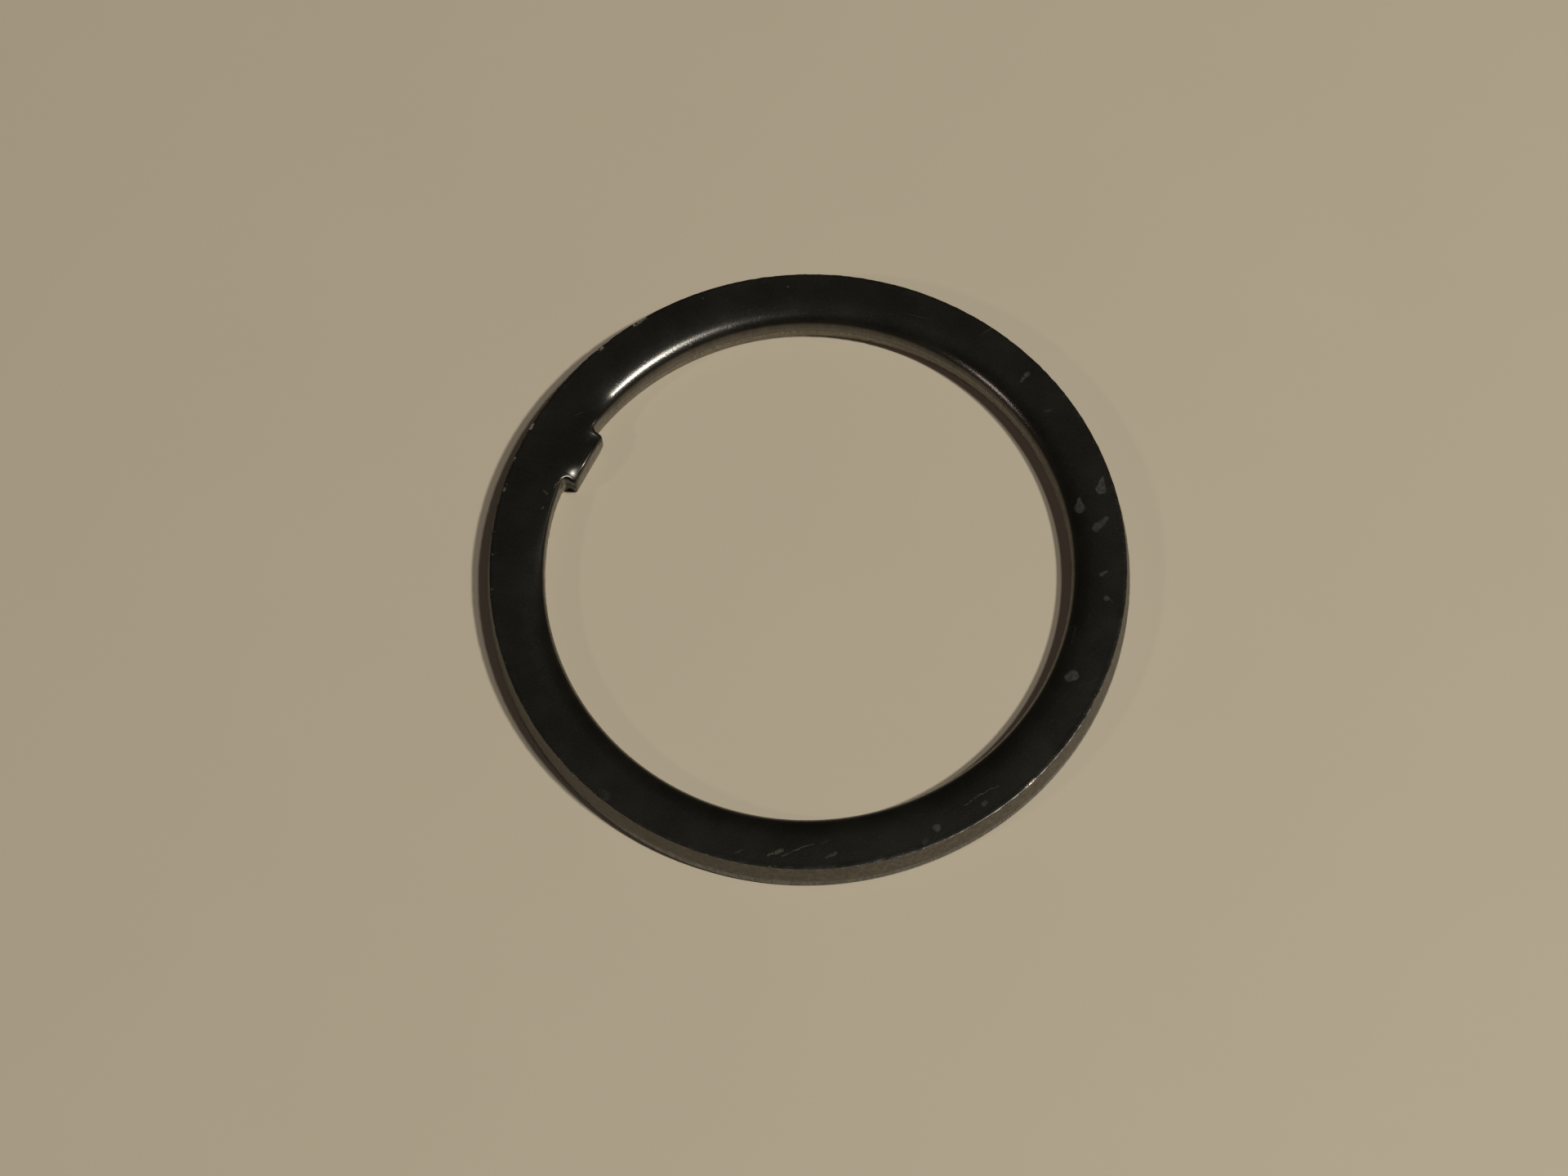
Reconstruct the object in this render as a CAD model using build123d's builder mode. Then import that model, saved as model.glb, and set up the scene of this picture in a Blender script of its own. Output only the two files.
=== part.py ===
from build123d import *
import math
import os

os.makedirs("parts", exist_ok=True)

# One flat ring pressed out of strip steel, with a short tab standing into its
# bore. It lies flat: the underside is at z = 0, +Z is the ring's own axis and
# the origin is the middle of the ring on the underside.

# The strip
thickness = 2.1

# The rim, cut from above: a straight band low down, then a torn zone that
# leans in to a sharp upper edge, and a rounded lower edge
rim_diameter = 32.0
rim_band = 0.8
rim_lean = 0.2
rim_roll = 0.25

# The bore, pierced from above: a rounded upper edge, a straight band, then a
# torn zone that opens out towards the underside
bore_diameter = 26.2
bore_band = 1.0
bore_flare = 0.2
bore_roll = 0.3

# The tab, square across its tip
tab_width = 2.9
tab_reach = 0.75
tab_angle = 152.3
tab_corner = 0.32
tab_root = 0.25

bore_radius = bore_diameter / 2
tab_tip = bore_radius - tab_reach
rim_torn = thickness - rim_band
bore_torn = thickness - bore_band
rim_lean_angle = math.degrees(math.atan(rim_lean / rim_torn))
bore_flare_angle = math.degrees(math.atan(bore_flare / bore_torn))

with BuildPart() as tabbed_ring:
    # The blank, spread both ways from the height where the band ends
    with BuildSketch(Plane.XY.offset(rim_band)) as blank:
        Circle(rim_diameter / 2)
    extrude(amount=-rim_band)
    extrude(blank.sketch, amount=rim_torn, taper=rim_lean_angle)

    # The opening, spread both ways from the height where its band ends
    with BuildSketch(Plane.XY.offset(bore_torn)) as opening:
        Circle(bore_radius)
        with PolarLocations(tab_tip, 1, start_angle=tab_angle):
            Rectangle(
                3 * tab_reach,
                tab_width,
                align=(Align.MIN, Align.CENTER),
                mode=Mode.SUBTRACT,
            )
        near_tab = opening.vertices().filter_by(lambda corner: corner.X < 0)
        by_distance = near_tab.sort_by_distance((0, 0, 0))
        tips = by_distance[:2]
        roots = by_distance[-2:]
        fillet(roots, tab_root)
        fillet(tips, tab_corner)
    extrude(opening.sketch, amount=bore_band, mode=Mode.SUBTRACT)
    extrude(opening.sketch, amount=-bore_torn, taper=-bore_flare_angle, mode=Mode.SUBTRACT)

    # The upper edge of the bore is drawn down all round, and round the tab
    upper_face = tabbed_ring.faces().filter_by(Axis.Z).sort_by(Axis.Z)[-1]
    fillet(upper_face.inner_wires()[0].edges(), bore_roll)

    # The lower edge of the rim is drawn up in the same way
    underside = tabbed_ring.faces().filter_by(Axis.Z).sort_by(Axis.Z)[0]
    fillet(underside.outer_wire().edges(), rim_roll)

tabbed_ring.part.label = "tabbed_ring"
export_step(tabbed_ring.part, "parts/tabbed_ring.step")
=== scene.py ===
import math

import bpy
from mathutils import Matrix, Vector


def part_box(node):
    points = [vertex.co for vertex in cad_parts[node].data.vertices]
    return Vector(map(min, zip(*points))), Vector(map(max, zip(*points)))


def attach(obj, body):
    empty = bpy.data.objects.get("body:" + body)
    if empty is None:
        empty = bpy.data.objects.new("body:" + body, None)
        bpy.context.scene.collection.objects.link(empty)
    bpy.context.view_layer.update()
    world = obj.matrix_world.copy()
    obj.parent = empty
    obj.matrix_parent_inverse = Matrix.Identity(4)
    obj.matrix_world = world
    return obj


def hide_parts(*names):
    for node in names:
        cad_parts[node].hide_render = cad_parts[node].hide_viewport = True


bl_info = {
    "name": "Tabbed key ring",
    "version": (1, 0, 0),
    "blender": (4, 5, 0),
    "location": "View3D > Sidebar > Key ring",
    "description": "Makes a flat pressed key ring with a tab in its bore, and the table it lies on",
    "category": "Object",
}

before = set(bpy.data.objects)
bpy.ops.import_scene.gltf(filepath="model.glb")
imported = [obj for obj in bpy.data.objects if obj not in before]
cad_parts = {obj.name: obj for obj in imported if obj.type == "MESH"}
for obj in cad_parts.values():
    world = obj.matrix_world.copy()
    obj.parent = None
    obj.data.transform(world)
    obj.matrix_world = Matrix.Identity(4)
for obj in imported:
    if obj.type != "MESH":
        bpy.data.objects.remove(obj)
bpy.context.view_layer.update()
ring_low, ring_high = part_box("tabbed_ring")

MM = 1000.0


class RingSizes(bpy.types.PropertyGroup):
    """Sizes of the pressed ring, in metres"""

    rim_diameter: bpy.props.FloatProperty(
        name="Rim diameter", description="Widest outside diameter, at the cut band",
        default=ring_high.x - ring_low.x, min=0.01, unit="LENGTH", precision=5)
    thickness: bpy.props.FloatProperty(
        name="Thickness", description="Thickness of the strip",
        default=ring_high.z - ring_low.z, min=0.0005, unit="LENGTH", precision=5)
    rim_band: bpy.props.FloatProperty(
        name="Rim band", description="Height of the rim's straight cut band above the underside",
        default=0.0008, min=0.0001, unit="LENGTH", precision=5)
    rim_lean: bpy.props.FloatProperty(
        name="Rim lean", description="How far the rim's upper edge stands in from the band",
        default=0.0002, min=0.0, unit="LENGTH", precision=5)
    rim_roll: bpy.props.FloatProperty(
        name="Rim roll", description="Rounding of the rim's lower edge",
        default=0.00025, min=0.00001, unit="LENGTH", precision=5)
    bore_diameter: bpy.props.FloatProperty(
        name="Bore diameter", description="Diameter of the bore's straight band",
        default=0.0262, min=0.005, unit="LENGTH", precision=5)
    bore_band: bpy.props.FloatProperty(
        name="Bore band", description="Depth of the bore's straight band below the upper face",
        default=0.0010, min=0.0001, unit="LENGTH", precision=5)
    bore_flare: bpy.props.FloatProperty(
        name="Bore flare", description="How far the bore opens out at the underside",
        default=0.0002, min=0.0, unit="LENGTH", precision=5)
    bore_roll: bpy.props.FloatProperty(
        name="Bore roll", description="Tight rounding of the bore's upper edge, below the sunken face",
        default=0.00016, min=0.00001, unit="LENGTH", precision=5)
    tab_width: bpy.props.FloatProperty(
        name="Tab width", description="Width of the tab across its tip",
        default=0.0029, min=0.0005, unit="LENGTH", precision=5)
    tab_reach: bpy.props.FloatProperty(
        name="Tab reach", description="How far the tab stands into the bore",
        default=0.00075, min=0.0001, unit="LENGTH", precision=5)
    tab_angle: bpy.props.FloatProperty(
        name="Tab angle", description="Where the tab stands, counter-clockwise from +X",
        default=math.radians(152.3), subtype="ANGLE")
    tab_corner: bpy.props.FloatProperty(
        name="Tab corner", description="Rounding of the tab's two corners",
        default=0.00024, min=0.00001, unit="LENGTH", precision=5)
    tab_root: bpy.props.FloatProperty(
        name="Tab root", description="Rounding where the tab meets the bore",
        default=0.00025, min=0.00001, unit="LENGTH", precision=5)
    sink_depth: bpy.props.FloatProperty(
        name="Sink depth", description="How far the face sinks towards the bore before it rounds over",
        default=0.00048, min=0.0, unit="LENGTH", precision=5)
    sink_reach: bpy.props.FloatProperty(
        name="Sink reach", description="How far from the bore the face sinks",
        default=0.00040, min=0.00001, unit="LENGTH", precision=5)
    tab_droop: bpy.props.FloatProperty(
        name="Tab droop", description="How far the tab's corners are drawn down by the punch",
        default=0.00040, min=0.0, unit="LENGTH", precision=5)
    burr: bpy.props.FloatProperty(
        name="Burr", description="Height of the ragged lip on the rim's upper edge",
        default=0.00003, min=0.0, unit="LENGTH", precision=6)
    tear: bpy.props.FloatProperty(
        name="Tear", description="Depth of the torn surface on the walls",
        default=0.000022, min=0.0, unit="LENGTH", precision=6)


class RingFinish(bpy.types.PropertyGroup):
    """Colours of the ring's blackened steel"""

    oxide: bpy.props.FloatVectorProperty(
        name="Oxide", description="Black oxide on the faces",
        default=(0.0046, 0.0044, 0.0034), size=3, subtype="COLOR", min=0.0, max=1.0)
    oxide_thin: bpy.props.FloatVectorProperty(
        name="Thin oxide", description="Oxide where it is thinner and lighter",
        default=(0.010, 0.0096, 0.0077), size=3, subtype="COLOR", min=0.0, max=1.0)
    torn: bpy.props.FloatVectorProperty(
        name="Torn steel", description="Brown-grey steel where the walls tore",
        default=(0.27, 0.23, 0.165), size=3, subtype="COLOR", min=0.0, max=1.0)
    cut: bpy.props.FloatVectorProperty(
        name="Cut band", description="Smoother steel where the tools cut the walls",
        default=(0.11, 0.092, 0.068), size=3, subtype="COLOR", min=0.0, max=1.0)
    bare: bpy.props.FloatVectorProperty(
        name="Bare steel", description="Steel rubbed bare on the edges",
        default=(0.55, 0.49, 0.40), size=3, subtype="COLOR", min=0.0, max=1.0)
    dried: bpy.props.FloatVectorProperty(
        name="Dried spots", description="Pale film left by dried drops",
        default=(0.0165, 0.016, 0.0132), size=3, subtype="COLOR", min=0.0, max=1.0)


class TableSettings(bpy.types.PropertyGroup):
    """The table, the lamps and the camera"""

    table_colour: bpy.props.FloatVectorProperty(
        name="Table colour", description="Plain pale table top",
        default=(0.385, 0.35, 0.285), size=3, subtype="COLOR", min=0.0, max=1.0)
    table_size: bpy.props.FloatProperty(
        name="Table size", description="Side of the square table top",
        default=1.6, min=0.1, unit="LENGTH")
    key_power: bpy.props.FloatProperty(
        name="Key lamp", description="Power of the lamp on the right, in watts",
        default=5.0, min=0.0)
    fill_power: bpy.props.FloatProperty(
        name="Fill lamp", description="Power of the weaker lamp on the left, in watts",
        default=0.45, min=0.0)
    sky_colour: bpy.props.FloatVectorProperty(
        name="Room colour", description="Light of the room around the table",
        default=(0.010, 0.0095, 0.0085), size=3, subtype="COLOR", min=0.0, max=1.0)
    ceiling_colour: bpy.props.FloatVectorProperty(
        name="Ceiling colour", description="Light from straight above",
        default=(0.015, 0.014, 0.0118), size=3, subtype="COLOR", min=0.0, max=1.0)


class Fields:
    """Short ways to add nodes to one tree"""

    def __init__(self, tree):
        self.tree = tree

    def put(self, kind, **settings):
        """A new node with its settings."""
        made = self.tree.nodes.new(kind)
        for name, value in settings.items():
            setattr(made, name, value)
        return made

    def feed(self, socket, value):
        """Links a socket to another, or sets its own value."""
        if isinstance(value, bpy.types.NodeSocket):
            self.tree.links.new(value, socket)
        else:
            socket.default_value = value

    def math(self, operation, *values, clamp=False):
        made = self.put("ShaderNodeMath", operation=operation, use_clamp=clamp)
        for socket, value in zip(made.inputs, values):
            self.feed(socket, value)
        return made.outputs[0]

    def add(self, a, b):
        return self.math("ADD", a, b)

    def less(self, a, b):
        return self.math("SUBTRACT", a, b)

    def times(self, a, b):
        return self.math("MULTIPLY", a, b)

    def over(self, a, b):
        return self.math("DIVIDE", a, b)

    def vector(self, x=0.0, y=0.0, z=0.0):
        made = self.put("ShaderNodeCombineXYZ")
        for socket, value in zip(made.inputs, (x, y, z)):
            self.feed(socket, value)
        return made.outputs[0]

    def parts(self, vector):
        made = self.put("ShaderNodeSeparateXYZ")
        self.feed(made.inputs[0], vector)
        return made.outputs

    def vectors(self, operation, *values, scale=None):
        made = self.put("ShaderNodeVectorMath", operation=operation)
        for socket, value in zip(made.inputs, values):
            self.feed(socket, value)
        if scale is not None:
            self.feed(made.inputs["Scale"], scale)
        return made.outputs[1] if operation in ("LENGTH", "DISTANCE", "DOT_PRODUCT") else made.outputs[0]

    def ramp(self, value, low, high, to_low=0.0, to_high=1.0, smooth=True):
        """value taken from low..high to to_low..to_high, clamped."""
        made = self.put("ShaderNodeMapRange")
        made.interpolation_type = "SMOOTHSTEP" if smooth else "LINEAR"
        for socket, fed in zip(made.inputs, (value, low, high, to_low, to_high)):
            self.feed(socket, fed)
        return made.outputs[0]

    def noise(self, vector, scale, detail=2.0, roughness=0.5, distortion=0.0):
        made = self.put("ShaderNodeTexNoise")
        for name, fed in (("Vector", vector), ("Scale", scale), ("Detail", detail),
                          ("Roughness", roughness), ("Distortion", distortion)):
            self.feed(made.inputs[name], fed)
        return made.outputs["Fac"]

    def blend(self, factor, a, b, kind="RGBA"):
        """a where factor is 0 and b where it is 1."""
        made = self.put("ShaderNodeMix", data_type=kind)
        slot = {"FLOAT": 2, "VECTOR": 4, "RGBA": 6}[kind]
        self.feed(made.inputs[0], factor)
        self.feed(made.inputs[slot], a)
        self.feed(made.inputs[slot + 1], b)
        return made.outputs[{"FLOAT": 0, "VECTOR": 1, "RGBA": 2}[kind]]


def bell(fields, distance, reach):
    """1 at no distance, falling smoothly away to nothing at about twice the reach."""
    ratio = fields.over(distance, reach)
    return fields.math("EXPONENT", fields.times(fields.times(ratio, ratio), -1.0))


def by_index(fields, index, kind, values):
    """One of several values, chosen by a point's number."""
    made = fields.put("GeometryNodeIndexSwitch", data_type=kind)
    while len(made.index_switch_items) < len(values):
        made.index_switch_items.new()
    fields.feed(made.inputs["Index"], index)
    for number, value in enumerate(values):
        fields.feed(made.inputs[number + 1], value)
    return made.outputs[0]


def keep(fields, geometry, **wanted):
    """Captures values on points, and returns the geometry and the captured values."""
    made = fields.put("GeometryNodeCaptureAttribute", domain="POINT")
    for name, (kind, value) in wanted.items():
        made.capture_items.new(kind, name)
    fields.feed(made.inputs[0], geometry)
    for number, (kind, value) in enumerate(wanted.values()):
        fields.feed(made.inputs[number + 1], value)
    return made.outputs[0], [made.outputs[number + 1] for number in range(len(wanted))]


def store(fields, geometry, name, kind, value):
    """Keeps a value on the mesh under a name, for the material."""
    made = fields.put("GeometryNodeStoreNamedAttribute", data_type=kind, domain="POINT")
    fields.feed(made.inputs["Geometry"], geometry)
    fields.feed(made.inputs["Name"], name)
    fields.feed(made.inputs["Value"], value)
    return made.outputs[0]


RING_INPUTS = (
    "Rim diameter", "Thickness", "Rim band", "Rim lean", "Rim roll",
    "Bore diameter", "Bore band", "Bore flare", "Bore roll",
    "Sink depth", "Sink reach",
    "Tab width", "Tab reach", "Tab corner", "Tab root", "Tab droop", "Burr", "Tear",
)
# Points on the bore's outline, and steps of the sweep round it
ARC_POINTS = 180
STEPS_AROUND = 1150
# The tab's share of the steps, its share of the outline, and where the outline is entered
TAB_SHARE = 0.26
TAB_REGION = 0.086
OUTLINE_START = 0.478
# About the length of the outline in millimetres
OUTLINE_LENGTH = 83.0
# Picks the pattern of the torn walls and the ragged lip
SEED = 4.0


def mouth_curve(f, size, bore, tip, half_tab, root_turn):
    """The bore's outline with the tab on +X: an arc, two corners, then rounded."""
    line = f.put("GeometryNodeMeshLine")
    line.inputs["Count"].default_value = ARC_POINTS + 2
    index = f.put("GeometryNodeInputIndex").outputs[0]
    turn = f.less(2 * math.pi, f.times(root_turn, 2.0))
    angle = f.add(root_turn, f.over(f.times(turn, index), ARC_POINTS - 1.0))
    on_arc = f.vector(f.times(bore, f.math("COSINE", angle)), f.times(bore, f.math("SINE", angle)))
    side = f.less(f.times(f.less(index, float(ARC_POINTS)), 2.0), 1.0)
    on_tip = f.vector(tip, f.times(half_tab, side))
    is_tip = f.math("GREATER_THAN", index, ARC_POINTS - 0.5)
    place = f.put("GeometryNodeSetPosition")
    curve = f.put("GeometryNodeMeshToCurve")
    f.feed(curve.inputs[0], line.outputs[0])
    f.feed(place.inputs["Geometry"], curve.outputs[0])
    f.feed(place.inputs["Position"], f.blend(is_tip, on_arc, on_tip, "VECTOR"))
    closed = f.put("GeometryNodeSetSplineCyclic")
    f.feed(closed.inputs["Geometry"], place.outputs[0])
    closed.inputs["Cyclic"].default_value = True
    rounded = f.put("GeometryNodeFilletCurve", mode="POLY")
    f.feed(rounded.inputs["Curve"], closed.outputs[0])
    rounded.inputs["Count"].default_value = 10
    is_first = f.math("LESS_THAN", index, 0.5)
    is_last = f.math("COMPARE", index, ARC_POINTS - 1.0, 0.5)
    radius = f.add(f.times(size["Tab corner"], is_tip), f.times(size["Tab root"], f.add(is_first, is_last)))
    f.feed(rounded.inputs["Radius"], radius)
    return rounded.outputs[0]


def section_curve(f, size, width):
    """The ring's section: x from the bore's wall to the rim, y up from the underside."""
    line = f.put("GeometryNodeMeshLine")
    line.inputs["Count"].default_value = 6
    index = f.put("GeometryNodeInputIndex").outputs[0]
    corners = by_index(f, index, "VECTOR", (
        f.vector(size["Bore flare"], 0.0),
        f.vector(0.0, f.less(size["Thickness"], size["Bore band"])),
        f.vector(0.0, size["Thickness"]),
        f.vector(f.less(width, size["Rim lean"]), size["Thickness"]),
        f.vector(width, size["Rim band"]),
        f.vector(width, 0.0),
    ))
    place = f.put("GeometryNodeSetPosition")
    curve = f.put("GeometryNodeMeshToCurve")
    f.feed(curve.inputs[0], line.outputs[0])
    f.feed(place.inputs["Geometry"], curve.outputs[0])
    f.feed(place.inputs["Position"], corners)
    closed = f.put("GeometryNodeSetSplineCyclic")
    f.feed(closed.inputs["Geometry"], place.outputs[0])
    closed.inputs["Cyclic"].default_value = True
    rounded = f.put("GeometryNodeFilletCurve", mode="POLY")
    f.feed(rounded.inputs["Curve"], closed.outputs[0])
    f.feed(rounded.inputs["Count"], by_index(f, index, "INT", (2, 2, 9, 3, 2, 6)))
    f.feed(rounded.inputs["Radius"], by_index(f, index, "FLOAT", (
        0.04, 0.3, size["Bore roll"], 0.045, 0.3, size["Rim roll"])))
    here = f.put("GeometryNodeInputPosition").outputs[0]
    count = f.put("GeometryNodeAttributeDomainSize", component="CURVE")
    f.feed(count.inputs[0], rounded.outputs[0])
    following = f.math("MODULO", f.add(f.put("GeometryNodeInputIndex").outputs[0], 1.0),
                       count.outputs["Point Count"])
    after = f.put("GeometryNodeFieldAtIndex", data_type="FLOAT_VECTOR", domain="POINT")
    f.feed(after.inputs["Value"], here)
    f.feed(after.inputs["Index"], following)
    gap = f.vectors("DISTANCE", here, after.outputs[0])
    finer = f.put("GeometryNodeSubdivideCurve")
    f.feed(finer.inputs["Curve"], rounded.outputs[0])
    f.feed(finer.inputs["Cuts"], f.math("FLOOR", f.over(gap, 0.17)))
    return finer.outputs[0]


def grow_ring_tree(steel):
    """The ring as a rule: its section carried round the bore's outline."""
    tree = bpy.data.node_groups.new("Pressed ring", "GeometryNodeTree")
    tree.is_modifier = True
    shape = tree.interface
    shape.new_socket(name="Geometry", in_out="INPUT", socket_type="NodeSocketGeometry")
    for name in RING_INPUTS:
        shape.new_socket(name=name, in_out="INPUT", socket_type="NodeSocketFloat")
    shape.new_socket(name="Tab angle", in_out="INPUT", socket_type="NodeSocketFloat")
    shape.new_socket(name="Seed", in_out="INPUT", socket_type="NodeSocketFloat")
    shape.new_socket(name="Geometry", in_out="OUTPUT", socket_type="NodeSocketGeometry")
    f = Fields(tree)
    size = f.put("NodeGroupInput").outputs
    bore = f.over(size["Bore diameter"], 2.0)
    rim = f.over(size["Rim diameter"], 2.0)
    width = f.less(rim, bore)
    tip = f.less(bore, size["Tab reach"])
    half_tab = f.over(size["Tab width"], 2.0)
    root_turn = f.math("ARCSINE", f.over(half_tab, bore))
    mouth = mouth_curve(f, size, bore, tip, half_tab, root_turn)

    # Steps round the outline, closer together at the tab
    loop = f.put("GeometryNodeCurvePrimitiveCircle", mode="RADIUS")
    loop.inputs["Resolution"].default_value = STEPS_AROUND
    step = f.over(f.put("GeometryNodeInputIndex").outputs[0], float(STEPS_AROUND))
    plain = (1.0 - TAB_SHARE) / 2
    share = f.add(
        f.ramp(step, 0.0, plain, 0.0, 0.5 - TAB_REGION / 2, smooth=False),
        f.add(
            f.ramp(step, plain, 1.0 - plain, 0.0, TAB_REGION, smooth=False),
            f.ramp(step, 1.0 - plain, 1.0, 0.0, 0.5 - TAB_REGION / 2, smooth=False),
        ),
    )
    factor = f.math("FRACT", f.add(share, OUTLINE_START))
    on_mouth = f.put("GeometryNodeSampleCurve", mode="FACTOR", use_all_curves=True)
    f.feed(on_mouth.inputs["Curves"], mouth)
    f.feed(on_mouth.inputs["Factor"], factor)
    near = on_mouth.outputs["Position"]
    heading = on_mouth.outputs["Tangent"]
    x, y, unused = f.parts(near)
    turn = f.math("ARCTAN2", y, x)
    round_part = f.math("GREATER_THAN", f.math("ABSOLUTE", turn), f.add(root_turn, f.over(0.6, bore)))
    outward = f.vector(f.math("COSINE", turn), f.math("SINE", turn))
    across = f.vectors("NORMALIZE", f.vectors("CROSS_PRODUCT", heading, (0.0, 0.0, 1.0)))
    into = f.blend(round_part, across, outward, "VECTOR")
    place = f.blend(round_part, near, f.vectors("SCALE", outward, scale=bore), "VECTOR")
    # Lines from the tab's flanks close in towards its middle, so that none of them cross
    inside = f.over(f.less(bore, f.vectors("LENGTH", near)), size["Tab reach"])
    past_root = f.times(f.math("MULTIPLY", inside, 3.0, clamp=True), 0.33)
    to_tip = f.times(f.math("MULTIPLY", inside, 1.0, clamp=True), 0.1)
    fan = f.times(turn, f.less(1.0, f.add(past_root, to_tip)))
    rimward = f.vector(f.math("COSINE", fan), f.math("SINE", fan))
    along = f.times(share, OUTLINE_LENGTH)
    full_sink = f.blend(f.math("GREATER_THAN", turn, 0.0), 0.27, 0.9, "FLOAT")
    clear = f.ramp(f.math("ABSOLUTE", turn), 0.13, full_sink)
    # Mask of the tab's flanks, carried to the material for the painted shade there
    flank = f.less(1.0, f.math("ABSOLUTE", f.vectors("DOT_PRODUCT", into, outward)))
    loop_out, (place, into, rimward, along, clear, flank) = keep(
        f, loop.outputs["Curve"], place=("VECTOR", place), into=("VECTOR", into),
        rimward=("VECTOR", rimward), along=("FLOAT", along), clear=("FLOAT", clear),
        flank=("FLOAT", flank))

    section_out, (section,) = keep(
        f, section_curve(f, size, width), section=("VECTOR", f.put("GeometryNodeInputPosition").outputs[0]))
    swept = f.put("GeometryNodeCurveToMesh")
    f.feed(swept.inputs["Curve"], loop_out)
    f.feed(swept.inputs["Profile Curve"], section_out)
    sx, sy, unused = f.parts(section)
    rim_side = f.less(width, 0.4)
    bore_side = f.math("MAXIMUM", size["Bore roll"], size["Bore flare"])
    near_bore = f.math("MINIMUM", sx, bore_side)
    near_rim = f.math("MAXIMUM", sx, rim_side)
    from_bore = f.vectors("ADD", place, f.vectors("SCALE", into, scale=near_bore))
    from_rim = f.vectors("SCALE", rimward, scale=f.add(bore, near_rim))
    spread = f.ramp(sx, bore_side, rim_side, smooth=False)
    flat = f.blend(spread, from_bore, from_rim, "VECTOR")

    # The face sinks towards the bore, and the tab's corners are drawn down with the punch
    px, py, unused = f.parts(flat)
    away = f.vectors("DISTANCE", f.vector(px, f.math("ABSOLUTE", py)),
                     f.vector(f.less(tip, 0.25), f.less(half_tab, 0.15)))
    corner_fall = f.times(bell(f, away, 0.56), size["Tab droop"])
    sink = f.math("EXPONENT", f.times(f.over(sx, size["Sink reach"]), -1.0))
    edge_fall = f.times(f.times(sink, size["Sink depth"]), clear)
    droop = f.times(f.add(corner_fall, edge_fall), f.over(sy, size["Thickness"]))
    height = f.less(sy, droop)
    placed = f.put("GeometryNodeSetPosition")
    f.feed(placed.inputs["Geometry"], swept.outputs[0])
    f.feed(placed.inputs["Position"], f.vectors("ADD", flat, f.vector(0.0, 0.0, height)))

    # Where the walls tore and where the tools cut them
    seed = f.vector(size["Seed"], f.times(size["Seed"], 1.7), 0.0)
    girth = f.vectors("ADD", f.vectors("SCALE", rimward, scale=13.0), seed)
    here = f.put("GeometryNodeInputPosition").outputs[0]
    lean = f.parts(f.put("GeometryNodeInputNormal").outputs[0])[2]
    wall = f.ramp(f.math("ABSOLUTE", lean), 0.45, 0.85, 1.0, 0.0)
    at_bore = f.math("LESS_THAN", sx, f.times(width, 0.5))
    wander = f.times(f.less(f.noise(girth, 0.55, 3.0, 0.6), 0.5), 0.7)
    bore_line = f.add(f.less(size["Thickness"], size["Bore band"]), 0.3)
    line = f.blend(at_bore, size["Rim band"], bore_line, "FLOAT")
    beyond = f.less(f.add(sy, wander), line)
    sided = f.blend(at_bore, beyond, f.times(beyond, -1.0), "FLOAT")
    torn = f.times(wall, f.ramp(sided, -0.04, 0.05))
    rim_edge = f.vectors("DISTANCE", f.vector(sx, sy),
                         f.vector(f.less(width, size["Rim lean"]), size["Thickness"]))
    edge = f.ramp(rim_edge, 0.03, 0.1, 1.0, 0.0)
    upper = f.math("GREATER_THAN", sy, f.less(size["Thickness"], f.add(size["Bore roll"], 0.01)))
    rolled = f.times(f.times(f.ramp(sx, 0.4, 1.1, 1.0, 0.0), upper), clear)

    # Torn grain on the walls, a ragged lip and a few nicks on the rim's edge
    coarse = f.vectors("MULTIPLY", f.vectors("ADD", here, seed), (1.0, 1.0, 0.45))
    grain = f.less(f.noise(coarse, 3.4, 4.0, 0.62), 0.5)
    ripple = f.less(f.noise(girth, 2.2, 2.0, 0.5), 0.5)
    ragged = f.ramp(f.noise(girth, 1.3, 4.0, 0.65), 0.38, 0.75)
    nick = f.ramp(f.noise(girth, 0.8, 3.0, 0.6), 0.66, 0.74)
    above_foot = f.ramp(sy, 0.02, 0.12)
    depth = f.add(
        f.times(f.times(torn, above_foot), f.times(f.add(f.times(grain, 3.0), ripple), size["Tear"])),
        f.times(f.times(edge, nick), -0.025),
    )
    pushed = f.put("GeometryNodeSetPosition")
    f.feed(pushed.inputs["Geometry"], placed.outputs[0])
    shove = f.vectors("SCALE", f.put("GeometryNodeInputNormal").outputs[0], scale=depth)
    lip = f.vector(0.0, 0.0, f.times(f.times(edge, ragged), size["Burr"]))
    f.feed(pushed.inputs["Offset"], f.vectors("ADD", shove, lip))

    mesh = pushed.outputs[0]
    mesh = store(f, mesh, "torn", "FLOAT", torn)
    mesh = store(f, mesh, "wall", "FLOAT", wall)
    mesh = store(f, mesh, "edge", "FLOAT", f.times(edge, f.add(0.35, f.times(ragged, 0.65))))
    mesh = store(f, mesh, "rolled", "FLOAT", rolled)
    # The flank mask, for the painted shade on the tab's flanks
    mesh = store(f, mesh, "flank", "FLOAT", f.times(flank, at_bore))
    mesh = store(f, mesh, "girth", "FLOAT_VECTOR", f.vector(along, height, sx))

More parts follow.
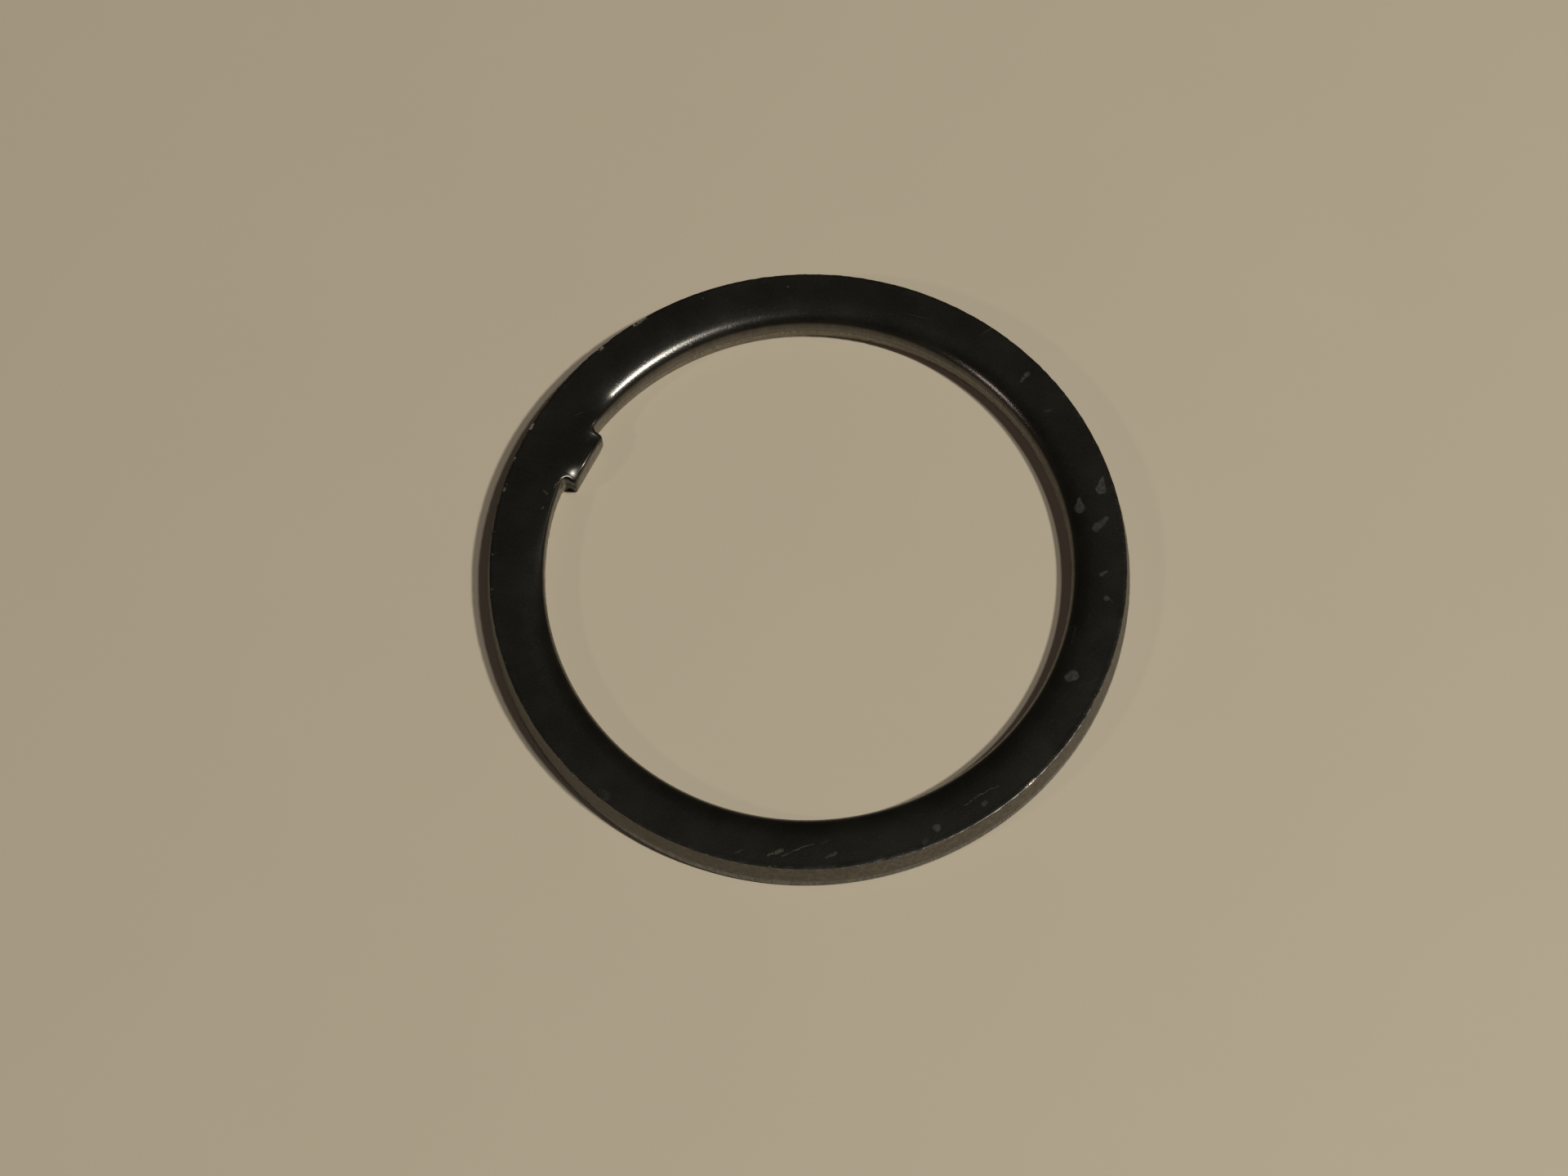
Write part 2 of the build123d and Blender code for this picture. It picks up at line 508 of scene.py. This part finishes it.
    # Turned so that the tab stands at its angle, and brought from millimetres to metres
    turned = f.put("ShaderNodeVectorRotate", rotation_type="Z_AXIS")
    f.feed(turned.inputs["Vector"], here)
    f.feed(turned.inputs["Angle"], size["Tab angle"])
    shrunk = f.put("GeometryNodeSetPosition")
    f.feed(shrunk.inputs["Geometry"], mesh)
    f.feed(shrunk.inputs["Position"], f.vectors("SCALE", turned.outputs[0], scale=1.0 / MM))
    smooth = f.put("GeometryNodeSetShadeSmooth")
    f.feed(smooth.inputs["Geometry"], shrunk.outputs[0])
    real = f.put("GeometryNodeRealizeInstances")
    f.feed(real.inputs[0], smooth.outputs[0])
    painted = f.put("GeometryNodeSetMaterial")
    painted.inputs["Material"].default_value = steel
    f.feed(painted.inputs["Geometry"], real.outputs[0])
    out = f.put("NodeGroupOutput")
    f.feed(out.inputs[0], painted.outputs[0])
    return tree


def hairline_group():
    """Fine scratches in one direction, as a mask."""
    tree = bpy.data.node_groups.new("Hairlines", "ShaderNodeTree")
    tree.interface.new_socket(name="Vector", in_out="INPUT", socket_type="NodeSocketVector")
    for name, default in (("Angle", 0.0), ("Length", 3.0), ("Spacing", 0.12), ("Amount", 0.5)):
        socket = tree.interface.new_socket(name=name, in_out="INPUT", socket_type="NodeSocketFloat")
        socket.default_value = default
    tree.interface.new_socket(name="Mask", in_out="OUTPUT", socket_type="NodeSocketFloat")
    f = Fields(tree)
    given = f.put("NodeGroupInput").outputs
    turned = f.put("ShaderNodeVectorRotate", rotation_type="Z_AXIS")
    bent = f.noise(given["Vector"], 0.12, 1.0)
    f.feed(turned.inputs["Vector"], given["Vector"])
    f.feed(turned.inputs["Angle"], f.add(given["Angle"], f.times(f.less(bent, 0.5), 0.5)))
    x, y, z = f.parts(turned.outputs[0])
    thin = f.vector(f.over(x, given["Length"]), f.over(y, given["Spacing"]), 0.0)
    lines = f.noise(thin, 1.0, 0.0, 0.5)
    peak = f.ramp(lines, f.less(0.86, f.times(given["Amount"], 0.2)), 0.9)
    out = f.put("NodeGroupOutput")
    f.feed(out.inputs["Mask"], peak)
    return tree


def mark_group():
    """One mark that runs between two points: a drop, a scratch or a speck, as a mask."""
    tree = bpy.data.node_groups.new("Mark", "ShaderNodeTree")
    for name in ("Vector", "From", "To"):
        tree.interface.new_socket(name=name, in_out="INPUT", socket_type="NodeSocketVector")
    for name in ("Start width", "End width", "Softness", "Strength"):
        tree.interface.new_socket(name=name, in_out="INPUT", socket_type="NodeSocketFloat")
    tree.interface.new_socket(name="Mask", in_out="OUTPUT", socket_type="NodeSocketFloat")
    f = Fields(tree)
    given = f.put("NodeGroupInput").outputs
    run = f.vectors("SUBTRACT", given["To"], given["From"])
    gone = f.vectors("SUBTRACT", given["Vector"], given["From"])
    dot = f.vectors("DOT_PRODUCT", gone, run)
    span = f.math("MAXIMUM", f.vectors("DOT_PRODUCT", run, run), 0.000001)
    along = f.math("DIVIDE", dot, span, clamp=True)
    off = f.vectors("DISTANCE", gone, f.vectors("SCALE", run, scale=along))
    width = f.blend(along, given["Start width"], given["End width"], "FLOAT")
    mask = f.ramp(f.less(off, width), f.times(given["Softness"], -1.0), given["Softness"], 1.0, 0.0)
    out = f.put("NodeGroupOutput")
    f.feed(out.inputs["Mask"], f.times(mask, given["Strength"]))
    return tree


def marks(f, vector, rows, softness):
    """The strongest of several marks at each point."""
    strongest = 0.0
    for start, end, start_width, end_width, strength in rows:
        made = f.put("ShaderNodeGroup", node_tree=bpy.data.node_groups["Mark"])
        f.feed(made.inputs["Vector"], vector)
        made.inputs["From"].default_value = (*start, 0.0)
        made.inputs["To"].default_value = (*end, 0.0)
        for name, value in (("Start width", start_width), ("End width", end_width),
                            ("Softness", softness), ("Strength", strength)):
            made.inputs[name].default_value = value
        strongest = f.math("MAXIMUM", strongest, made.outputs["Mask"])
    return strongest


# Marks on the upper face, in millimetres: from, to, half width at each end, strength
DRIED_DROPS = (
    ((13.5, 3.0), (13.5, 3.5), 0.26, 0.06, 0.9),
    ((14.6, 4.0), (14.65, 4.6), 0.28, 0.07, 0.8),
    ((14.3, 1.9), (14.8, 2.4), 0.2, 0.14, 0.6),
    ((14.5, -0.55), (14.8, -0.4), 0.10, 0.05, 0.9),
    ((14.75, -1.85), (14.7, -1.75), 0.13, 0.08, 0.7),
    ((12.8, -5.95), (13.05, -5.85), 0.22, 0.26, 0.9),
    ((10.7, 9.85), (11.05, 10.25), 0.05, 0.11, 0.9),
    ((11.9, 8.2), (12.1, 8.25), 0.08, 0.08, 0.3),
    ((6.3, -13.7), (6.2, -13.65), 0.17, 0.12, 0.6),
    ((8.6, -12.45), (8.65, -12.4), 0.14, 0.1, 0.5),
    ((5.7, -14.4), (5.8, -14.3), 0.12, 0.08, 0.3),
    ((-9.8, -12.0), (-9.9, -11.9), 0.25, 0.2, 0.2),
    ((13.2, -3.3), (13.0, -4.1), 0.05, 0.05, 0.35),
)
SCRATCHES = (
    ((-1.9, -15.1), (-1.25, -14.8), 0.05, 0.09, 0.9),
    ((-1.2, -15.1), (0.3, -14.45), 0.035, 0.02, 0.8),
    ((0.95, -15.2), (1.4, -15.0), 0.05, 0.08, 0.6),
    ((-3.5, -14.95), (-3.0, -14.75), 0.04, 0.03, 0.4),
    ((7.6, -12.6), (8.4, -12.0), 0.02, 0.03, 0.7),
    ((8.4, -12.0), (9.3, -11.55), 0.03, 0.015, 0.7),
    ((-12.37, 4.52), (-12.7, 4.15), 0.05, 0.03, 1.0),
    ((-12.97, 3.8), (-13.2, 3.95), 0.03, 0.03, 0.8),
    ((-13.25, 3.05), (-13.2, 3.12), 0.05, 0.03, 1.0),
    ((-1.05, 15.1), (-1.0, 15.1), 0.04, 0.04, 0.8),
    ((-5.4, 14.45), (-5.35, 14.45), 0.04, 0.04, 0.8),
)
# Bright nicks along the rim's upper edge
RIM_NICKS = (
    ((-8.75, 13.0), (-8.3, 13.3), 0.12, 0.16, 1.0),
    ((-10.6, 11.6), (-10.4, 11.75), 0.08, 0.08, 0.6),
    ((-13.95, 7.4), (-13.85, 7.55), 0.1, 0.1, 1.0),
    ((-14.75, 5.65), (-14.7, 5.75), 0.07, 0.07, 0.8),
    ((-15.2, 4.0), (-15.15, 4.1), 0.06, 0.06, 0.7),
    ((10.7, -11.65), (11.05, -11.3), 0.12, 0.12, 1.0),
)
HAIRLINES = (
    (math.radians(-32), 2.2, 0.09, 0.35),
    (math.radians(14), 3.4, 0.07, 0.25),
    (math.radians(68), 2.6, 0.08, 0.2),
)


def hairlines(f, here):
    """Faint scratches in three directions, in patches."""
    strongest = 0.0
    for angle, length, spacing, amount in HAIRLINES:
        hair = f.put("ShaderNodeGroup", node_tree=bpy.data.node_groups["Hairlines"])
        f.feed(hair.inputs["Vector"], here)
        for name, value in (("Angle", angle), ("Length", length), ("Spacing", spacing), ("Amount", amount)):
            hair.inputs[name].default_value = value
        strongest = f.math("MAXIMUM", strongest, hair.outputs["Mask"])
    return f.times(strongest, f.ramp(f.noise(here, 0.22, 2.0), 0.5, 0.66))


def blackened_steel(finish):
    """Pressed steel under black oxide: dark satin faces, brown torn walls, bare nicks."""
    steel = bpy.data.materials.new("Blackened steel")
    steel.use_nodes = True
    tree = steel.node_tree
    tree.nodes.clear()
    f = Fields(tree)
    out = f.put("ShaderNodeOutputMaterial")
    shader = f.put("ShaderNodeBsdfPrincipled")
    f.feed(out.inputs["Surface"], shader.outputs[0])

    def colour(rgb):
        return (*rgb, 1.0)

    def mark(name):
        made = f.put("ShaderNodeAttribute", attribute_name=name)
        return made.outputs["Fac"]

    here = f.vectors("SCALE", f.put("ShaderNodeTexCoord").outputs["Object"], scale=MM)
    level = f.vectors("MULTIPLY", here, (1.0, 1.0, 0.0))
    girth = f.put("ShaderNodeAttribute", attribute_name="girth").outputs["Vector"]
    torn, wall, edge, rolled = mark("torn"), mark("wall"), mark("edge"), mark("rolled")
    face = f.less(1.0, wall)
    upper = f.ramp(f.parts(here)[2], 1.2, 1.5)

    # Oxide on the faces: faintly cloudy, with a fine pickled grain and pale specks
    cloud = f.noise(here, 0.4, 4.0, 0.6)
    grain = f.noise(here, 11.0, 3.0, 0.65)
    pits = f.noise(here, 2.6, 4.0, 0.7)
    base = f.blend(f.ramp(cloud, 0.35, 0.7, 0.0, 0.4), colour(finish.oxide), colour(finish.oxide_thin))
    base = f.blend(f.times(f.ramp(grain, 0.5, 0.75), 0.6), base, colour(finish.oxide_thin))
    speck = f.ramp(f.noise(here, 3.3, 2.0, 0.5), 0.745, 0.79)
    base = f.blend(f.times(speck, 0.5), base, colour(finish.dried))

    # Dried drops and scratches on the upper face, with ragged outlines
    ragged = f.put("ShaderNodeTexNoise")
    f.feed(ragged.inputs["Vector"], here)
    ragged.inputs["Scale"].default_value = 3.0
    shift = f.vectors("SUBTRACT", ragged.outputs["Color"], (0.5, 0.5, 0.5))
    sideways = f.vectors("MULTIPLY", shift, (1.0, 1.0, 0.0))
    strayed = f.vectors("ADD", level, f.vectors("SCALE", sideways, scale=0.2))
    on_top = f.times(face, upper)
    film = f.ramp(f.noise(here, 6.0, 2.0), 0.25, 0.6, 0.45, 1.0)
    drops = f.times(f.times(marks(f, strayed, DRIED_DROPS, 0.05), on_top), film)
    base = f.blend(drops, base, colour(finish.dried))
    scratched = f.times(marks(f, strayed, SCRATCHES, 0.02), on_top)
    scratched = f.times(scratched, f.ramp(grain, 0.35, 0.6))
    fine = f.times(hairlines(f, here), face)
    scratches = f.math("MAXIMUM", f.times(scratched, 0.1), f.times(fine, 0.05))

    # Walls: the cut band carries upright tool lines, the torn zone a coarse grain
    upright = f.vectors("MULTIPLY", girth, (1.0, 0.12, 0.0))
    lines = f.noise(upright, 7.0, 3.0, 0.6)
    tears = f.noise(f.vectors("MULTIPLY", girth, (1.0, 0.6, 1.0)), 5.0, 5.0, 0.72)
    stain = f.noise(here, 0.9, 3.0, 0.6)
    band = f.blend(f.times(lines, 0.8), colour(finish.cut), colour(finish.oxide_thin))
    rough_steel = f.blend(f.ramp(tears, 0.41, 0.59), colour(finish.cut), colour(finish.torn))
    walls = f.blend(torn, band, rough_steel)
    walls = f.blend(f.ramp(stain, 0.45, 0.7, 0.0, 0.45), walls, colour(finish.cut))
    # Painted shade: the rim's outer wall is darkened towards the thin oxide colour, so it reads darker than
    # the bore's wall
    at_rim = f.ramp(f.parts(girth)[2], 1.0, 2.0)
    walls = f.blend(f.times(at_rim, 0.58), walls, colour(finish.oxide_thin))
    # Painted shade: the tab's flanks are darkened to the oxide colour
    walls = f.blend(f.ramp(mark("flank"), 0.1, 0.45), walls, colour(finish.oxide))
    base = f.blend(wall, base, walls)

    # Steel rubbed bare: nicks on the rim's edge and the scratches
    rub = f.noise(here, 7.5, 3.0, 0.7)
    nicks = f.times(marks(f, level, RIM_NICKS, 0.04), f.ramp(rub, 0.4, 0.55))
    rub_edge = f.times(edge, f.math("MAXIMUM", nicks, f.ramp(rub, 0.66, 0.72)))
    bare = f.math("MAXIMUM", rub_edge, scratches)
    base = f.blend(bare, base, colour(finish.bare))
    f.feed(shader.inputs["Base Color"], base)
    metal = f.math("MAXIMUM", f.times(bare, 0.9), f.times(wall, 0.25))
    f.feed(shader.inputs["Metallic"], metal)

    rough = f.ramp(cloud, 0.3, 0.7, 0.26, 0.29, smooth=False)
    rough = f.less(rough, f.times(rolled, 0.08))
    rough = f.add(rough, f.times(f.less(grain, 0.5), 0.12))
    rough = f.blend(wall, rough, f.ramp(lines, 0.3, 0.7, 0.22, 0.4), "FLOAT")
    rough = f.blend(torn, rough, f.ramp(tears, 0.3, 0.7, 0.36, 0.6), "FLOAT")
    rough = f.blend(drops, rough, 0.55, "FLOAT")
    rough = f.blend(bare, rough, 0.27, "FLOAT")
    f.feed(shader.inputs["Roughness"], rough)
    shader.inputs["IOR"].default_value = 1.45

    # Relief under the oxide
    face_relief = f.times(grain, f.add(0.0016, f.times(rolled, 0.0028)))
    face_relief = f.add(face_relief, f.times(f.ramp(pits, 0.6, 0.75), -0.003))
    face_relief = f.less(face_relief, f.times(scratches, 0.004))
    wall_relief = f.blend(torn, f.times(lines, 0.004), f.times(tears, 0.055), "FLOAT")
    relief = f.blend(wall, face_relief, wall_relief, "FLOAT")
    bump = f.put("ShaderNodeBump")
    bump.inputs["Distance"].default_value = 1.0 / MM
    bump.inputs["Strength"].default_value = 1.0
    f.feed(bump.inputs["Height"], relief)
    f.feed(shader.inputs["Normal"], bump.outputs[0])
    return steel


class KEYRING_OT_ring(bpy.types.Operator):
    """Make the pressed ring with its tab, in blackened steel"""

    bl_idname = "keyring.make_ring"
    bl_label = "Make the ring"

    def execute(self, context):
        sizes = context.scene.ring_sizes
        hairline_group()
        mark_group()
        steel = blackened_steel(context.scene.ring_finish)
        tree = grow_ring_tree(steel)
        mesh = bpy.data.meshes.new("ring_seed")
        seed = bpy.data.objects.new("ring_seed", mesh)
        context.scene.collection.objects.link(seed)
        grower = seed.modifiers.new("Pressed ring", "NODES")
        grower.node_group = tree
        given = {name: getattr(sizes, name.lower().replace(" ", "_")) * MM for name in RING_INPUTS}
        given["Tab angle"] = sizes.tab_angle
        given["Seed"] = SEED
        for socket in tree.interface.items_tree:
            if socket.in_out == "INPUT" and socket.name in given:
                grower[socket.identifier] = given[socket.name]
        grown = seed.evaluated_get(context.evaluated_depsgraph_get())
        ring_mesh = bpy.data.meshes.new_from_object(grown)
        ring_mesh.name = "pressed_ring"
        bpy.data.objects.remove(seed)
        ring = bpy.data.objects.new("pressed_ring", ring_mesh)
        context.scene.collection.objects.link(ring)
        if len(ring_mesh.polygons) == 0:
            raise RuntimeError("the ring's tree made no faces")
        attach(ring, "root")
        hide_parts("tabbed_ring")
        return {"FINISHED"}


def plain_top(table):
    """Plain pale top with a faint cloudiness."""
    top = bpy.data.materials.new("Pale table top")
    top.use_nodes = True
    tree = top.node_tree
    tree.nodes.clear()
    f = Fields(tree)
    out = f.put("ShaderNodeOutputMaterial")
    shader = f.put("ShaderNodeBsdfPrincipled")
    f.feed(out.inputs["Surface"], shader.outputs[0])
    here = f.put("ShaderNodeTexCoord").outputs["Object"]
    cloud = f.noise(here, 90.0, 3.0)
    shade = tuple(0.965 * part for part in table.table_colour)
    f.feed(shader.inputs["Base Color"], f.blend(cloud, (*shade, 1.0), (*table.table_colour, 1.0)))
    shader.inputs["Roughness"].default_value = 0.62
    return top


def lamp(context, name, power, colour, size, azimuth, elevation, distance):
    """An area lamp that points at the ring. Azimuth is counter-clockwise from +X."""
    light = bpy.data.lights.new(name, "AREA")
    light.shape = "DISK"
    light.size = size
    light.energy = power
    light.color = colour
    holder = bpy.data.objects.new(name, light)
    context.scene.collection.objects.link(holder)
    level = math.cos(elevation)
    away = Vector((math.cos(azimuth) * level, math.sin(azimuth) * level, math.sin(elevation)))
    holder.location = away * distance
    holder.rotation_euler = away.to_track_quat("Z", "Y").to_euler()
    return holder


# Lamps: name, elevation in degrees, share of the key power
KEY_LAMPS = (("key_lamp_low", 62.5, 0.72), ("key_lamp_high", 70.5, 0.28))
KEY_AZIMUTH = math.radians(-21)
KEY_COLOUR = (1.0, 0.93, 0.80)
KEY_SIZE = 0.045
FILL_AZIMUTH = math.radians(205)
FILL_ELEVATION = math.radians(44)
FILL_COLOUR = (1.0, 0.80, 0.72)
FILL_SIZE = 0.055
LAMP_DISTANCE = 0.7

# Camera: turned from straight in front, raised, rolled, and looking at a point on the table
CAMERA_AZIMUTH = math.radians(3.3)
CAMERA_ELEVATION = math.radians(69.2)
CAMERA_ROLL = math.radians(-3.24)
CAMERA_AIM = Vector((-0.00122, -0.00045, 0.0))
CAMERA_DISTANCE = 0.2243
CAMERA_LENS = 103.1


class KEYRING_OT_table(bpy.types.Operator):
    """Set out the table top, the lamps and the camera"""

    bl_idname = "keyring.set_table"
    bl_label = "Set the table"

    def execute(self, context):
        table = context.scene.ring_table
        half = table.table_size / 2
        corners = [(-half, -half, 0.0), (half, -half, 0.0), (half, half, 0.0), (-half, half, 0.0)]
        mesh = bpy.data.meshes.new("table_top")
        mesh.from_pydata(corners, [], [(0, 1, 2, 3)])
        mesh.materials.append(plain_top(table))
        top = bpy.data.objects.new("table_top", mesh)
        context.scene.collection.objects.link(top)

        for name, elevation, share in KEY_LAMPS:
            lamp(context, name, share * table.key_power, KEY_COLOUR, KEY_SIZE,
                 KEY_AZIMUTH, math.radians(elevation), LAMP_DISTANCE)
        lamp(context, "fill_lamp", table.fill_power, FILL_COLOUR, FILL_SIZE,
             FILL_AZIMUTH, FILL_ELEVATION, LAMP_DISTANCE)

        room = bpy.data.worlds.new("Room")
        room.use_nodes = True
        tree = room.node_tree
        tree.nodes.clear()
        f = Fields(tree)
        out = f.put("ShaderNodeOutputWorld")
        glow = f.put("ShaderNodeBackground")
        f.feed(out.inputs["Surface"], glow.outputs[0])
        rise = f.parts(f.put("ShaderNodeTexCoord").outputs["Generated"])[2]
        upper = f.ramp(rise, 0.15, 0.75)
        f.feed(glow.inputs["Color"], f.blend(upper, (*table.sky_colour, 1.0), (*table.ceiling_colour, 1.0)))
        context.scene.world = room

        camera = bpy.data.cameras.new("camera")
        camera.lens = CAMERA_LENS
        camera.sensor_width = 36.0
        camera.clip_start = 0.005
        camera.clip_end = 10.0
        holder = bpy.data.objects.new("camera", camera)
        context.scene.collection.objects.link(holder)
        level = math.cos(CAMERA_ELEVATION)
        back = Vector((math.sin(CAMERA_AZIMUTH) * level, -math.cos(CAMERA_AZIMUTH) * level,
                       math.sin(CAMERA_ELEVATION)))
        place = Matrix.Translation(CAMERA_AIM + back * CAMERA_DISTANCE)
        turn = back.to_track_quat("Z", "Y").to_matrix().to_4x4()
        holder.matrix_world = place @ turn @ Matrix.Rotation(CAMERA_ROLL, 4, "Z")
        context.scene.camera = holder
        context.scene.view_settings.view_transform = "Standard"
        return {"FINISHED"}


class KEYRING_PT_panel(bpy.types.Panel):
    """Lists what this add-on makes"""

    bl_idname = "KEYRING_PT_panel"
    bl_label = "Key ring"
    bl_space_type = "VIEW_3D"
    bl_region_type = "UI"
    bl_category = "Key ring"

    def draw(self, context):
        scene = context.scene
        for settings in (scene.ring_sizes, scene.ring_finish, scene.ring_table):
            box = self.layout.box()
            for name in settings.__annotations__:
                box.prop(settings, name)
        self.layout.operator(KEYRING_OT_ring.bl_idname)
        self.layout.operator(KEYRING_OT_table.bl_idname)


CLASSES = (RingSizes, RingFinish, TableSettings, KEYRING_OT_ring, KEYRING_OT_table, KEYRING_PT_panel)


def register():
    for made in CLASSES:
        bpy.utils.register_class(made)
    bpy.types.Scene.ring_sizes = bpy.props.PointerProperty(type=RingSizes)
    bpy.types.Scene.ring_finish = bpy.props.PointerProperty(type=RingFinish)
    bpy.types.Scene.ring_table = bpy.props.PointerProperty(type=TableSettings)


def unregister():
    del bpy.types.Scene.ring_table
    del bpy.types.Scene.ring_finish
    del bpy.types.Scene.ring_sizes
    for made in reversed(CLASSES):
        bpy.utils.unregister_class(made)


def main():
    register()
    bpy.ops.keyring.make_ring()
    bpy.ops.keyring.set_table()


if __name__ == "__main__":
    main()
